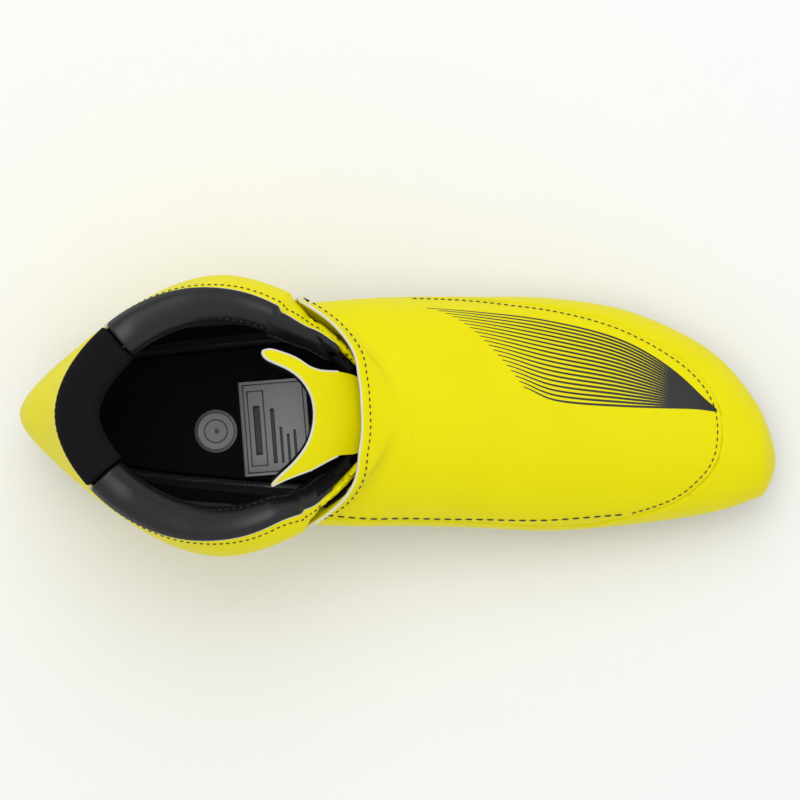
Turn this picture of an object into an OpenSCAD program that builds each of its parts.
// Low-cut speed-skating boot for the left foot: a carbon base that bolts to a
// skate frame, a soft outer skin, a padded collar, a tongue, and a lace cover.
// +X is the toe, +Y the outer side of the foot, +Z up, in millimetres.
// The origin is midway between the two frame bolts, on the plane they seat on.

/* [Boot] */
// Length from heel to toe
boot_length = 280; // [270:1:290]
// Thickness of the outer skin
skin_t = 1.2; // [0.9:0.1:1.2]
// Thickness of the carbon shell
shell_t = 2; // [1.5:0.1:2]
// Thickness of the lining
lining_t = 1.6; // [1:0.1:2]

/* [Frame mount] */
// Distance between the two frame bolts
bolt_gap = 195; // [190:1:200]
// Bore of the M6 thread in each plate
bolt_bore = 5; // [5:0.1:6]
// Length of a mount plate
plate_l = 34; // [28:1:36]
// Width of a mount plate
plate_w = 22; // [18:1:24]
// Thickness of a mount plate
plate_t = 4; // [3:0.5:4]
// Thread diameter of the screws that hold a plate
screw_d = 3; // [2.5:0.5:3]
// Length of the front pedestal
front_pedestal_l = 60; // [50:1:64]
// Length of the rear pedestal
rear_pedestal_l = 44; // [42:1:46]

/* [Lace cover] */
// Thickness of the cover
cover_t = 1.3; // [1:0.1:1.3]
// Widest gap along the fold of the cover
fold_gap = 5; // [4:0.5:6]
// Depth of the quarters below the outside of the cover
cover_depth = 5.2; // [5.1:0.1:5.3]

/* [Laces] */
// Pairs of eyelets
eyelet_pairs = 7; // [7:1:7]
// Diameter of the lace
lace_d = 1.8; // [1.4:0.1:1.8]
// Bore of an eyelet
eyelet_bore = 4; // [3.6:0.2:4]

/* [Tongue] */
// Depth of the tongue below the outside of the boot
tongue_depth = 6.9; // [6.8:0.1:7.2]
// Thickness of the tongue's lining pad
tongue_pad_t = 2.2; // [1.5:0.1:2.5]

/* [Hidden] */

// Gap between two layers that are glued together
glue = 0.1;
// Gap between the cover and what it lies on, at the cover's edge
edge_clear = 0.8;
size = boot_length / 280;

// Stations of the boot's outer surface, from the toe tip (0) back along the
// foot to the rim of the collar (18) and on above it. Each one is a closed ring:
// [top x, top z, bottom x, bottom z, outer y, inner y,
//  share of the height where it is widest, roundness above, roundness below]
stations = [
    [150.5, 24, 150.5, 24, -15.5, -15.5, 0.5, 2, 2],
    [146.5, 36, 147, 12.5, -1, -27, 0.5, 2, 2.2],
    [140.5, 40.5, 142, 9, 9, -30.3, 0.48, 2, 2.4],
    [129.5, 44.5, 131, 6.5, 22, -34, 0.45, 2.1, 2.6],
    [114.5, 48, 116, 5, 32, -37, 0.42, 2.1, 2.8],
    [92, 52.5, 93, 4.5, 41, -39.8, 0.4, 2.1, 3],
    [65, 59, 66, 4.5, 45, -41.7, 0.38, 2.1, 3],
    [38, 66, 36, 7.5, 45.3, -40.3, 0.4, 2.05, 2.8],
    [18, 72, 4, 12.5, 45, -39.5, 0.44, 2, 2.6],
    [14.5, 73.3, -30, 13, 44, -39.5, 0.5, 2, 2.6],
    [12.3, 74.2, -66, 7, 42.5, -38.8, 0.54, 2, 2.6],
    [10.9, 74.8, -100, 5.5, 41.5, -38, 0.55, 2, 2.5],
    [9.9, 75.3, -119, 14, 42, -38.5, 0.55, 2, 2.1],
    [9.1, 75.7, -128, 30, 43.5, -40, 0.53, 2, 1.6],
    [8.2, 76.2, -129.5, 44, 46.5, -43, 0.53, 1.95, 1.35],
    [7, 76.8, -126, 60, 49.7, -46.7, 0.53, 1.9, 1.35],
    [5.2, 77.8, -119.5, 75, 52, -49.3, 0.53, 1.85, 1.4],
    [2.4, 79.4, -113.5, 91, 50.5, -47.5, 0.51, 1.85, 1.55],
    [-2, 82.2, -111, 107, 47, -43, 0.47, 1.85, 1.75],
    [-8, 86.2, -112, 120, 45, -41, 0.47, 1.9, 1.8],
    [-15, 91.4, -113, 132, 44, -40, 0.47, 1.9, 1.9],
    [-23, 97.6, -114, 144, 43, -39, 0.47, 1.9, 1.9],
    [-32, 104.8, -115, 156, 42, -38, 0.47, 1.9, 1.9]];
last_station = len(stations) - 1;

// The ring before the toe tip is ring 1 seen through the tip
toe_mirror = let (s = stations[1])
    [s[2], s[3], s[0], s[1], s[5], s[4], 1 - s[6], s[8], s[7]];

function station(i) =
    i < 0 ? toe_mirror
    : i > last_station ? 2 * stations[last_station] - stations[last_station - 1]
    : stations[i];

// Smooth curve through p1 and p2, with p0 and p3 as the neighbours
function spline(p0, p1, p2, p3, t) = 0.5 * (2 * p1 + (p2 - p0) * t
    + (2 * p0 - 5 * p1 + 4 * p2 - p3) * t * t
    + (3 * p1 - p0 - 3 * p2 + p3) * t * t * t);

function ring(u) = let (s = min(max(u, 0), last_station - 0.001), i = floor(s))
    spline(station(i - 1), station(i), station(i + 1), station(i + 2), s - i);

// A power of q that stays smooth where q is 0
soft = 0.02;
function even_power(q, n) = (pow(q * q + soft, n / 2) - pow(soft, n / 2))
    / (pow(1 + soft, n / 2) - pow(soft, n / 2));

// A point of the outer surface. The length of [a, b] is the station, and its
// angle runs round the ring: 0 is the outer side, 90 the top, 270 the sole.
function skin(a, b) =
    let (u = norm([a, b]))
    let (c = u > 0.000001 ? a / u : 1, s = u > 0.000001 ? b / u : 0, k = ring(u))
    let (n = (k[7] + k[8]) / 2 + s * (k[7] - k[8]) / 2)
    let (r = pow(even_power(c, n) + even_power(s, n), -1 / n))
    let (x = k[2] + k[6] * (k[0] - k[2]), z = k[3] + k[6] * (k[1] - k[3]))
    let (far_x = s > 0 ? k[0] : k[2], far_z = s > 0 ? k[1] : k[3], h = r * abs(s))
    size * [x + h * (far_x - x),
        (k[4] + k[5]) / 2 + r * c * (k[4] - k[5]) / 2,
        z + h * (far_z - z)];

function outward(a, b) =
    let (e = 0.02)
    let (n = cross(skin(a + e, b) - skin(a - e, b), skin(a, b + e) - skin(a, b - e)))
    n / norm(n);

// A point at height d above the outer surface (below it when d is negative)
function layer(p, d) = skin(p[0], p[1]) + d * outward(p[0], p[1]);

function polar(u, v) = [u * cos(v), u * sin(v)];
function mix(p, q, t) = p + (q - p) * t;
function ramp(t) = let (s = min(max(t, 0), 1)) s * s * (3 - 2 * s);

// Outline of the lace cover, as pairs of [angle, station] or [station, angle]
toe_seam = [[4, 10], [9, 8.3], [18, 7.05], [26, 6.4], [30, 5.9], [35, 5.3],
    [40, 4.75], [45, 4.25], [52, 3.75], [62, 3.33], [74, 3.11], [87, 3.06],
    [102, 3.11], [116, 3.3], [128, 3.65], [139, 4.05], [147, 4.5], [153, 5],
    [157, 5.4]];
back_edge = [[4, 10], [12, 10.9], [18, 11.6], [24, 12.4], [31, 16.5], [42, 16.5],
    [53, 16.75], [62, 17.1], [74, 17.8], [88, 18.15], [106, 17.75], [119, 16.85],
    [128, 16.3], [140, 15.9], [150, 15.5], [157, 15.2]];
fold_line = [[50, 15.9], [54, 13.4], [57, 11.6], [60, 10.2], [65, 9.5], [70, 8.8],
    [80, 7.7], [90, 7.15], [100, 6.7], [110, 6.3], [120, 5.9], [130, 5.6],
    [140, 5.4], [150, 5.4], [157, 5.45]];
lateral_side = [[3.06, 87], [3.11, 74], [3.33, 62], [3.75, 52], [4.25, 45],
    [4.75, 40], [5.3, 35], [5.9, 30], [6.4, 26], [7.05, 18], [8.3, 9], [10, 4],
    [10.9, 12], [11.6, 18], [12.4, 23], [16.5, 29], [18, 31]];
medial_side = [[3.06, 87], [3.11, 102], [3.3, 116], [3.65, 128], [4.05, 139],
    [4.5, 147], [5, 153], [5.4, 157], [15.2, 157], [15.6, 152], [16.3, 145], [18, 140]];

// Station of the collar's rim at each angle: it dips under the cover in front
rim_line = [[25, 18], [38, 17.7], [50, 17], [61, 16.3], [119, 16.3], [130, 17],
    [142, 17.7], [155, 18]];

// How far the quarters lie below the outer surface where the cover lies on them
function sunk(p) =
    let (u = norm(p), angle = atan2(p[1], p[0]))
    let (v = angle < -90 ? angle + 360 : angle)
    let (inside = min(v - lookup(u, lateral_side), lookup(u, medial_side) - v))
    let (e = min(inside, (u - 3.06) * 40))
    (cover_t + edge_clear) * ramp((e + 12) / 12)
    + (cover_depth - cover_t - edge_clear) * ramp(e / 12);

// Spokes of the upper, from the sole's edge to the top edge, for one side:
// each is [start, control, end] of a curve, as [a, b]
spokes = [
    [[0, -1], [0, 1.7], [0, 4.5]],
    [[1.4, -1.35], [2, 1.6], [1, 4.6]],
    [[2.3, -2.05], [3.6, 1.2], [1.7, 5]],
    [[3.2, -2.5], [5.2, 1.1], [2.1, 5.7]],
    [[4, -3.05], [7, 1.2], [2.6, 6.7]],
    [[4.7, -3.8], [8.6, 1.3], [3.2, 8]],
    [[5.2, -4.7], [10.2, 1.5], [4.2, 10.5]],
    [[5.7, -5.6], [12, 1.6], [6, 13.3]],
    [[6.1, -6.6], [13.5, 1.2], [7.9, 14.2]],
    [[6.4, -7.5], [14.5, -0.5], [11.5, 12.65]],
    [[6.5, -8.6], [14, -3], [16, 8.2]],
    [[6, -9.7], [12.3, -7], [17.95, -1]],
    [[4.6, -10.7], [9, -11], [15, -10]],
    [[2.4, -11.5], [4.9, -14], [8, -16.1]],
    [[0, -11.7], [0, -14.8], [0, -18]]];
last_spoke = len(spokes) - 1;
// Rows from the sole's edge to the top edge
upper_rows = 12;

function mirrored(s) = [for (p = s) [-p[0], p[1]]];
function spoke_at(i) =
    i < 0 ? mirrored(spokes[-i])
    : i > last_spoke ? mirrored(spokes[2 * last_spoke - i])
    : spokes[i];

// Spoke k runs from 0 at the toe to 14 at the heel; negative ones are medial
function spoke(k) = let (m = abs(k), i = min(floor(m), last_spoke - 1))
    let (s = spline(spoke_at(i - 1), spoke_at(i), spoke_at(i + 1), spoke_at(i + 2), m - i))
    k < 0 ? mirrored(s) : s;
function on_spoke(k, t) = let (s = spoke(k))
    (1 - t) * (1 - t) * s[0] + 2 * t * (1 - t) * s[1] + t * t * s[2];

// Faces that close both ends of a stack of rings with n points each, as fans
// round two more points at the end of the list
function end_fans(rings, n) = [for (j = [0 : n - 1]) let (k = (j + 1) % n)
    each [[k, j, rings * n], [(rings - 1) * n + j, (rings - 1) * n + k, rings * n + 1]]];

// Closed solid between two heights over a grid of surface points. With a
// loop, the last point of each row joins the first one.
module sheet(grid, top, bottom, loop = false, sink = false) {
    rows = len(grid);
    cols = len(grid[0]);
    span = loop ? cols - 1 : cols - 2;
    drop = [for (r = grid) for (p = r) sink ? sunk(p) : 0];
    flat = [for (r = grid) for (p = r) p];
    points = [for (d = [top, bottom]) for (i = [0 : len(flat) - 1])
        layer(flat[i], d - drop[i])];
    function at(side, i, j) = side * rows * cols + i * cols + (j % cols);
    step_j = grid[0][1] - grid[0][0];
    step_i = grid[1][0] - grid[0][0];
    turned = cross(step_j, step_i) < 0;
    faces = [
        for (i = [0 : rows - 2]) for (j = [0 : span])
            each [[at(0, i, j), at(0, i + 1, j), at(0, i + 1, j + 1), at(0, i, j + 1)],
                [at(1, i, j), at(1, i, j + 1), at(1, i + 1, j + 1), at(1, i + 1, j)]],
        for (j = [0 : span])
            each [[at(0, 0, j), at(0, 0, j + 1), at(1, 0, j + 1), at(1, 0, j)],
                [at(0, rows - 1, j + 1), at(0, rows - 1, j),
                    at(1, rows - 1, j), at(1, rows - 1, j + 1)]],
        if (!loop) for (i = [0 : rows - 2])
            each [[at(0, i + 1, 0), at(0, i, 0), at(1, i, 0), at(1, i + 1, 0)],
                [at(0, i, cols - 1), at(0, i + 1, cols - 1),
                    at(1, i + 1, cols - 1), at(1, i, cols - 1)]]];
    corners = [for (f = faces) each [[f[0], f[1], f[2]], [f[0], f[2], f[3]]]];
    polyhedron(points, turned ? [for (f = corners) [f[2], f[1], f[0]]] : corners);
}

// Solid with the same closed section at each angle. The section's points are
// [stations above the rim, height].
module roll(angles, section) {
    n = len(section);
    points = [for (v = angles) for (s = section)
        let (p = polar(lookup(v, rim_line) + s[0], v))
        layer(p, s[1] - sunk(p))];
    sides = [for (i = [0 : len(angles) - 2]) for (j = [0 : n - 1])
        let (a = i * n + j, b = i * n + (j + 1) % n)
        each [[a, b, b + n], [a, b + n, a + n]]];
    // The section's last point is its inner corner, and sees all the others
    last = (len(angles) - 1) * n;
    ends = [for (j = [0 : n - 3]) each [[j + 1, j, n - 1],
        [last + j, last + j + 1, last + n - 1]]];
    polyhedron(points, [for (f = concat(sides, ends)) [f[2], f[1], f[0]]]);
}

// Round tube through a list of points
module tube(path, d) {
    n = 8;
    m = len(path);
    function along(i) = let (t = path[min(i + 1, m - 1)] - path[max(i - 1, 0)]) t / norm(t);
    points = [for (i = [0 : m - 1])
        let (t = along(i))
        let (side = cross(t, [0, 0, 1]) / norm(cross(t, [0, 0, 1])))
        let (up = cross(side, t))
        for (k = [0 : n - 1])
            path[i] + d / 2 * (cos(k * 360 / n) * side + sin(k * 360 / n) * up)];
    sides = [for (i = [0 : m - 2]) for (k = [0 : n - 1])
        let (a = i * n + k, b = i * n + (k + 1) % n)
        each [[a, b, b + n], [a, b + n, a + n]]];
    polyhedron(concat(points, [path[0], path[m - 1]]), concat(sides, end_fans(m, n)));
}

// Puts a child on the surface at height d, with its Z axis pointing outward
module on_skin(p, d) {
    n = outward(p[0], p[1]);
    translate(layer(p, d)) rotate([0, acos(n[2]), atan2(n[1], n[0])]) children();
}

// Carbon base ---------------------------------------------------------------

// Room for the cement between the skin and the carbon
cement = 0.4;
shell_top = -skin_t - cement;
shell_bottom = shell_top - shell_t;
// Places across the floor, as shares of the half width, from the outer side
floor_shares = [1, 0.92, 0.72, 0.38, 0, -0.38, -0.72, -0.92, -1];
// Rows of points across the floor, from one side's spokes to the other's
function floor_grid(first, edge_skip) = [for (i = [first : 2 * last_spoke - first])
    let (edge = on_spoke(i / 2, 0))
    [for (j = [edge_skip : len(floor_shares) - 1 - edge_skip])
        [edge[0] * floor_shares[j], edge[1]]]];

// How many of the upper's rows the carbon reaches up the sides
wall_rows = 5;
// How deep inside the boot the floor's curve is cut from the bolt blocks
block_cut = 14;

module pedestal_outline(x, length, front_w, rear_w) {
    hull() {
        translate([x + length / 2 - 12, front_w / 2 - 12]) circle(12, $fn = 32);
        translate([x + length / 2 - 12, 12 - front_w / 2]) circle(12, $fn = 32);
        translate([x - length / 2 + 10, rear_w / 2 - 10]) circle(10, $fn = 32);
        translate([x - length / 2 + 10, 10 - rear_w / 2]) circle(10, $fn = 32);
    }
}

module plate_pocket(x) {
    translate([x - plate_l / 2, -plate_w / 2, -1]) cube([plate_l, plate_w, plate_t + 1]);
}

// Heights of the two bolt blocks above the ground
front_block_h = 8;
rear_block_h = 9;

module carbon_floor() {
    color([0.07, 0.07, 0.08]) sheet(floor_grid(0, 0), shell_top, shell_bottom);
}

module carbon_wall(side) {
    color([0.07, 0.07, 0.08])
        sheet(patch(side, 0, last_spoke, 0, wall_rows), shell_top, shell_bottom, sink = true);
}

// A raised block under the floor, with a pocket for its mount plate
module bolt_block(x, length, front_w, rear_w, height) {
    color([0.07, 0.07, 0.08])
        difference() {
            linear_extrude(height) pedestal_outline(x, length, front_w, rear_w);
            sheet(floor_grid(1, 0), shell_top + glue, -block_cut);
            plate_pocket(x);
        }
}

module front_bolt_block() {
    bolt_block(bolt_gap / 2, front_pedestal_l, 46, 50, front_block_h);
}

module rear_bolt_block() {
    bolt_block(-bolt_gap / 2, rear_pedestal_l, 42, 28, rear_block_h);
}

screw_x = plate_l / 2 - 5;
screw_y = plate_w / 2 - 5;

module mount_plate(x) {
    color([0.75, 0.76, 0.78])
    difference() {
        translate([x - plate_l / 2, -plate_w / 2, 0]) cube([plate_l, plate_w, plate_t]);
        translate([x, 0, -1]) cylinder(h = plate_t + 2, d = bolt_bore, $fn = 48);
        for (sx = [-1, 1], sy = [-1, 1])
            translate([x + sx * screw_x, sy * screw_y, -1])
                cylinder(h = plate_t + 2, d = screw_d, $fn = 32);
        for (sx = [-1, 1], sy = [-1, 1])
            translate([x + sx * screw_x, sy * screw_y, -0.01])
                cylinder(h = screw_d / 2 + 0.01, r1 = screw_d + 0.01, r2 = screw_d / 2, $fn = 32);
    }
}

module front_mount_plate() {
    mount_plate(bolt_gap / 2);
}

module rear_mount_plate() {
    mount_plate(-bolt_gap / 2);
}

module mount_screws() {
    color([0.6, 0.6, 0.62])
    for (x = [-bolt_gap / 2, bolt_gap / 2], sx = [-1, 1], sy = [-1, 1])
        translate([x + sx * screw_x, sy * screw_y, 0.1])
            difference() {
                union() {
                    cylinder(h = screw_d / 2, r1 = screw_d - 0.1, r2 = screw_d / 2 - 0.1, $fn = 32);
                    cylinder(h = plate_t - 0.2, d = screw_d - 0.2, $fn = 32);
                }
                translate([0, 0, -0.1]) cylinder(h = 1.1, d = 2, $fn = 6);
            }
}

// Upper ---------------------------------------------------------------------

upper_cols = 4 * last_spoke;
// Rows of a layer between two edges, on the upper's own spokes and rows
function layer_rows(from, to) = [for (j = [floor(from * upper_rows) : ceil(to * upper_rows)])
    min(max(j / upper_rows, from), to)];
function layer_grid(from, to) = [for (t = layer_rows(from, to))
    [for (i = [0 : upper_cols - 1]) on_spoke(i / 2 - last_spoke, t)]];
// Part of that grid, between spokes k0 and k1 on one side and rows j0 and j1
function patch(side, k0, k1, j0, j1) = [for (j = [j0 : j1])
    [for (i = [2 * (side > 0 ? k0 : -k1) : 2 * (side > 0 ? k1 : -k0)])
        on_spoke(i / 2, j / upper_rows)]];
lining_top = shell_bottom - glue;
lining_bottom = lining_top - lining_t;

module upper() {
    color([0.92, 0.88, 0.05]) sheet(layer_grid(0, 1), 0, -skin_t, loop = true, sink = true);
}

module lining() {
    color([0.05, 0.05, 0.06])
        sheet(layer_grid(1 / upper_rows, 1), lining_top, lining_bottom, loop = true, sink = true);
}

module ankle_foam(side) {
    color([0.25, 0.25, 0.27])
        sheet(patch(side, 9.5, 13.5, 8, 11), -skin_t - glue, shell_bottom, sink = true);
}

module ankle_foam_lateral() {
    ankle_foam(1);
}

module ankle_foam_medial() {
    ankle_foam(-1);
}

// Section of the collar roll: it caps the rim and hangs down inside it
pad_back = lining_bottom - 1;
roll_section = [[0.03, -0.3], [0.25, -0.6], [0.42, -2], [0.48, -4], [0.42, -6.2],
    [0.2, -8.2], [-0.3, -9.4], [-1, -9.4], [-1.8, -8.2], [-2.6, -6.6],
    [-3, pad_back], [-2, pad_back], [-1, pad_back], [0.03, pad_back]];
heel_section = [[0.03, -0.3], [0.15, -0.6], [0.25, -2], [0.28, -4], [0.24, -5.8],
    [0.1, -7.2], [-0.3, -8], [-0.8, -8], [-1.4, -7.4], [-1.8, -6.6],
    [-2, pad_back], [-1, pad_back], [0.03, pad_back]];

module collar_pad_lateral() {
    color([0.1, 0.1, 0.11]) roll([for (v = [-44 : 7.5 : 39]) v], roll_section);
}

module collar_pad_medial() {
    color([0.1, 0.1, 0.11]) roll([for (v = [149 : 7.6 : 233.5]) v], roll_section);
}

module collar_pad_heel() {
    color([0.06, 0.06, 0.07]) roll([for (v = [236 : 7.8 : 314]) v], heel_section);
}

module heel_grip(side) {
    color([0.3, 0.3, 0.32])
        sheet(patch(side, 9.5, 12.5, 4, 7), lining_bottom - glue, lining_bottom - 0.7);
}

module heel_grip_lateral() {
    heel_grip(1);
}

module heel_grip_medial() {
    heel_grip(-1);
}

// Insole --------------------------------------------------------------------

insole_top = shell_bottom - 0.3;
insole_t = 3;
insole_face = insole_top - insole_t;
// Height of the stickers over the insole's facets
sticker_gap = 1;

module insole() {
    color([0.13, 0.13, 0.14]) sheet(floor_grid(1, 1), insole_top, insole_face);
}

// A point of the insole's face, at station u and a places across
function on_insole(u, a) = [a, -sqrt(u * u - a * a)];

module insole_label() {
    grid = [for (i = [0 : 6]) [for (j = [0 : 8])
        let (a = mix(-5.6, 3.4, j / 8))
        on_insole(mix(8.75, 9.55, i / 6) - 0.012 * a, a)]];
    color([0.7, 0.71, 0.73])
        sheet(grid, insole_face - sticker_gap, insole_face - sticker_gap - 0.3);
}

// Centre and half sizes of the round sticker, as [place across, station]
disc_at = [-1.5, 9.82];
disc_half = [1.9, 0.225];

module insole_disc() {
    grid = [for (r = [0.04, 0.35, 0.7, 1]) [for (w = [0 : 15 : 345])
        on_insole(disc_at[1] + disc_half[1] * r * sin(w), disc_at[0] + disc_half[0] * r * cos(w))]];
    color([0.75, 0.76, 0.78])
        sheet(grid, insole_face - sticker_gap, insole_face - sticker_gap - 0.3, loop = true);
}

// Tongue --------------------------------------------------------------------

// Side edges of the tongue's covered part at each station, then of its free
// part from the hinge (0) to the tips (1), and its curved top edge
tongue_sides = [[4.8, 8], [5.5, 13.5], [7, 15.5], [14, 15.5], [16, 14], [18, 15]];
free_lateral = [[0, 67.5], [0.31, 66.5], [0.48, 64], [0.58, 58.5], [0.7, 55], [0.88, 52], [1, 53]];
free_medial = [[0, 112], [0.25, 116.5], [0.5, 122], [0.74, 126], [0.95, 131], [1, 134]];
tongue_edge = [[53, 21.02], [55, 21.15], [58, 21.2], [61, 21], [65, 20.6], [70, 20.33],
    [75, 20.2], [82, 20.12], [104, 20.1], [117, 20.2], [125, 20.28], [131, 20.2], [134, 20.05]];
hinge_station = 18.1;
// Half the gap between the tongue's two parts, in stations
hinge_clear = 0.14;

function covered_tongue(from, inset, rows, cols) = [for (i = [0 : rows])
    let (u = mix(from, hinge_station - hinge_clear, i / rows))
    let (half = lookup(u, tongue_sides) - inset)
    [for (j = [0 : cols]) polar(u, 89.7 + half * (2 * j / cols - 1))]];

function free_tongue(inset, rows, cols) = [for (i = [0 : rows]) let (r = i / rows)
    [for (j = [0 : cols])
        let (v = mix(lookup(r, free_lateral) + inset, lookup(r, free_medial) - inset, j / cols))
        let (tip = mix(53, 134, j / cols))
        let (top = lookup(tip, tongue_edge) - inset / 16)
        polar(mix(hinge_station + hinge_clear, top, r), v)]];

tongue_face = -tongue_depth - skin_t;

module tongue_base() {
    color([0.9, 0.86, 0.05])
        sheet(covered_tongue(4.9, 0, 18, 10), -tongue_depth, tongue_face);
}

module tongue_base_pad() {
    color([0.08, 0.08, 0.09])
        sheet(covered_tongue(5.1, 1.5, 16, 8), tongue_face - glue, tongue_face - tongue_pad_t);
}

module tongue_top() {
    color([0.9, 0.86, 0.05])
        sheet(free_tongue(0, 12, 20), -tongue_depth, tongue_face);
}

module tongue_top_pad() {
    color([0.08, 0.08, 0.09])
        sheet(free_tongue(2, 10, 16), tongue_face - glue, tongue_face - tongue_pad_t);
}

// Lacing --------------------------------------------------------------------

eyelet_angle = 29;
eyelet_stations = [5.2, 5.72, 6.24, 6.76, 7.28, 7.95, 12.5];
eyestay_t = 0.8;
eyestay_top = -cover_depth + eyestay_t;
eyestay_bottom = -cover_depth + glue;
// Radius of the eyelet's barrel
barrel_r = eyelet_bore / 2 + 0.3;

function eyelet_point(side, i) = polar(eyelet_stations[i], 90 - side * eyelet_angle);

module eyestay(side) {
    color([0.1, 0.1, 0.1])
    difference() {
        sheet(patch(side, 1.5, 7.5, 10, 12), eyestay_t, glue, sink = true);
        for (i = [0 : eyelet_pairs - 1])
            on_skin(eyelet_point(side, i), eyestay_bottom - 0.6)
                cylinder(h = 3, r = barrel_r + 0.5, $fn = 16);
    }
}

module eyestay_lateral() {
    eyestay(1);
}

module eyestay_medial() {
    eyestay(-1);
}

// Flanged ring: a short barrel through the eyestay with a rim on top of it
module eyelet() {
    rotate_extrude($fn = 32)
        polygon([[eyelet_bore / 2, -0.4], [barrel_r, -0.4], [barrel_r, 0.2],
            [barrel_r + 0.45, 0.2], [barrel_r + 0.45, 0.3], [barrel_r + 0.2, 0.45],
            [eyelet_bore / 2 + 0.1, 0.45], [eyelet_bore / 2, 0.35]]);
}

module eyelets(side) {
    color([0.55, 0.55, 0.57])
    for (i = [0 : eyelet_pairs - 1])
        on_skin(eyelet_point(side, i), eyestay_top + 0.4) eyelet();
}

module eyelets_lateral() {
    eyelets(1);
}

module eyelets_medial() {
    eyelets(-1);
}

// One bar of the lace, from one eyelet over the tongue to the other
bar_ends = [[-29, -4.7], [-28.2, -2.8], [-25.6, -2.5], [-20, -2.7], [-14, -4.2], [-7, -5.3]];
bar = concat(bar_ends, [[0, -5.5]], [for (i = [len(bar_ends) - 1 : -1 : 0])
    [-bar_ends[i][0], bar_ends[i][1]]]);
// Loop and tail of the bow on the outer side: [station, angle from the top, height]
bow_loop = [[10.8, 1, -4], [11.6, 8, -3.9], [13, 15, -3.7], [14.4, 19, -3.5],
    [15.5, 17, -3.5], [15.2, 10, -3.7], [13.8, 4, -3.9], [12.4, 0.5, -4]];
bow_tail = [[10, 1, -4], [8.6, 2.5, -4.2], [7.9, 4.5, -4], [7.65, 8.5, -3.9], [7.6, 13, -3.8]];
function bow_path(side, list) = [for (p = list)
    layer(polar(p[0], 90 - side * p[1]), p[2])];

module lace() {
    color([0.12, 0.12, 0.12]) {
        for (i = [0 : eyelet_pairs - 1])
            tube([for (p = bar) layer(polar(eyelet_stations[i], 90 - p[0]), p[1])], lace_d);
        for (side = [-1, 1]) {
            tube(bow_path(side, bow_loop), lace_d);
            tube(bow_path(side, bow_tail), lace_d);
        }
        on_skin(polar(11, 90), -4) cube([4.4, 4, 2.6], center = true);
    }
}

module aglets() {
    color([0.15, 0.15, 0.16])
    for (side = [-1, 1]) {
        tail = bow_path(side, bow_tail);
        from = tail[len(tail) - 1];
        way = from - tail[len(tail) - 2];
        n = way / norm(way);
        translate(from + 0.3 * n) rotate([0, acos(n[2]), atan2(n[1], n[0])])
            cylinder(h = 7, d = 1.9, $fn = 20);
    }
}

// Lace cover ----------------------------------------------------------------

// Rows run close together at the toe seam in station, and far apart behind
function cover_step(t) = 0.3 * t + 0.7 * pow(t, 4);
function half_gap(v) = fold_gap * (0.2 + 0.8 * sin(mix(0, 180, (v - 50) / 107))) / 2;
// Length of one station along the top of the boot at the fold
function station_len(v) = lookup(v, [[50, 5], [57, 4], [62, 4], [75, 8], [85, 20], [100, 24], [157, 25]]);

module cover_front() {
    angles = concat([for (v = [5 : 5 : 45]) v], [49.6, 50.4], [for (v = [54 : 4.9 : 157]) v]);
    grid = [for (v = angles)
        let (start = lookup(v, toe_seam))
        let (end = v < 50 ? lookup(v, back_edge) : lookup(v, fold_line) - half_gap(v) / station_len(v))
        [for (i = [0 : 10]) polar(mix(start, max(end, start + 0.05), cover_step(i / 10)), v)]];
    color([0.92, 0.88, 0.05]) sheet(grid, 0, -cover_t);
}

module cover_flap() {
    grid = [for (v = [51 : 5.3 : 157])
        let (start = lookup(v, fold_line) + half_gap(v) / station_len(v))
        let (end = lookup(v, back_edge))
        [for (i = [0 : 14]) polar(mix(min(start, end - 0.3), end, cover_step(i / 14)), v)]];
    color([0.92, 0.88, 0.05]) sheet(grid, 0, -cover_t);
}

// Hook-and-loop strips along the inner side: the hooks are under the flap
module loop_strip() {
    grid = [for (i = [0 : 16]) let (u = mix(6.2, 16.4, pow(i / 16, 1.3)))
        [for (j = [0 : 3]) polar(u, mix(143, 132, i / 16) + mix(-5, 5, j / 3))]];
    color([0.04, 0.04, 0.05]) sheet(grid, 1.1, 0.6, sink = true);
}

module hook_strip() {
    grid = [for (i = [0 : 14]) let (u = mix(6.3, 14.8, pow(i / 14, 1.3)))
        [for (j = [0 : 3]) polar(u, mix(143, 134, i / 14) + mix(-5, 5, j / 3))]];
    color([0.04, 0.04, 0.05]) sheet(grid, -cover_t - 2 * glue, -cover_t - 0.9);
}

carbon_floor();
carbon_wall(1);  // carbon_wall_lateral
carbon_wall(-1);  // carbon_wall_medial
front_bolt_block();
rear_bolt_block();
front_mount_plate();
rear_mount_plate();
mount_screws();
upper();
lining();
ankle_foam_lateral();
ankle_foam_medial();
collar_pad_lateral();
collar_pad_medial();
collar_pad_heel();
heel_grip_lateral();
heel_grip_medial();
insole();
insole_label();
insole_disc();
tongue_base();
tongue_base_pad();
tongue_top();
tongue_top_pad();
eyestay_lateral();
eyestay_medial();
eyelets_lateral();
eyelets_medial();
lace();
aglets();
cover_front();
cover_flap();
loop_strip();
hook_strip();
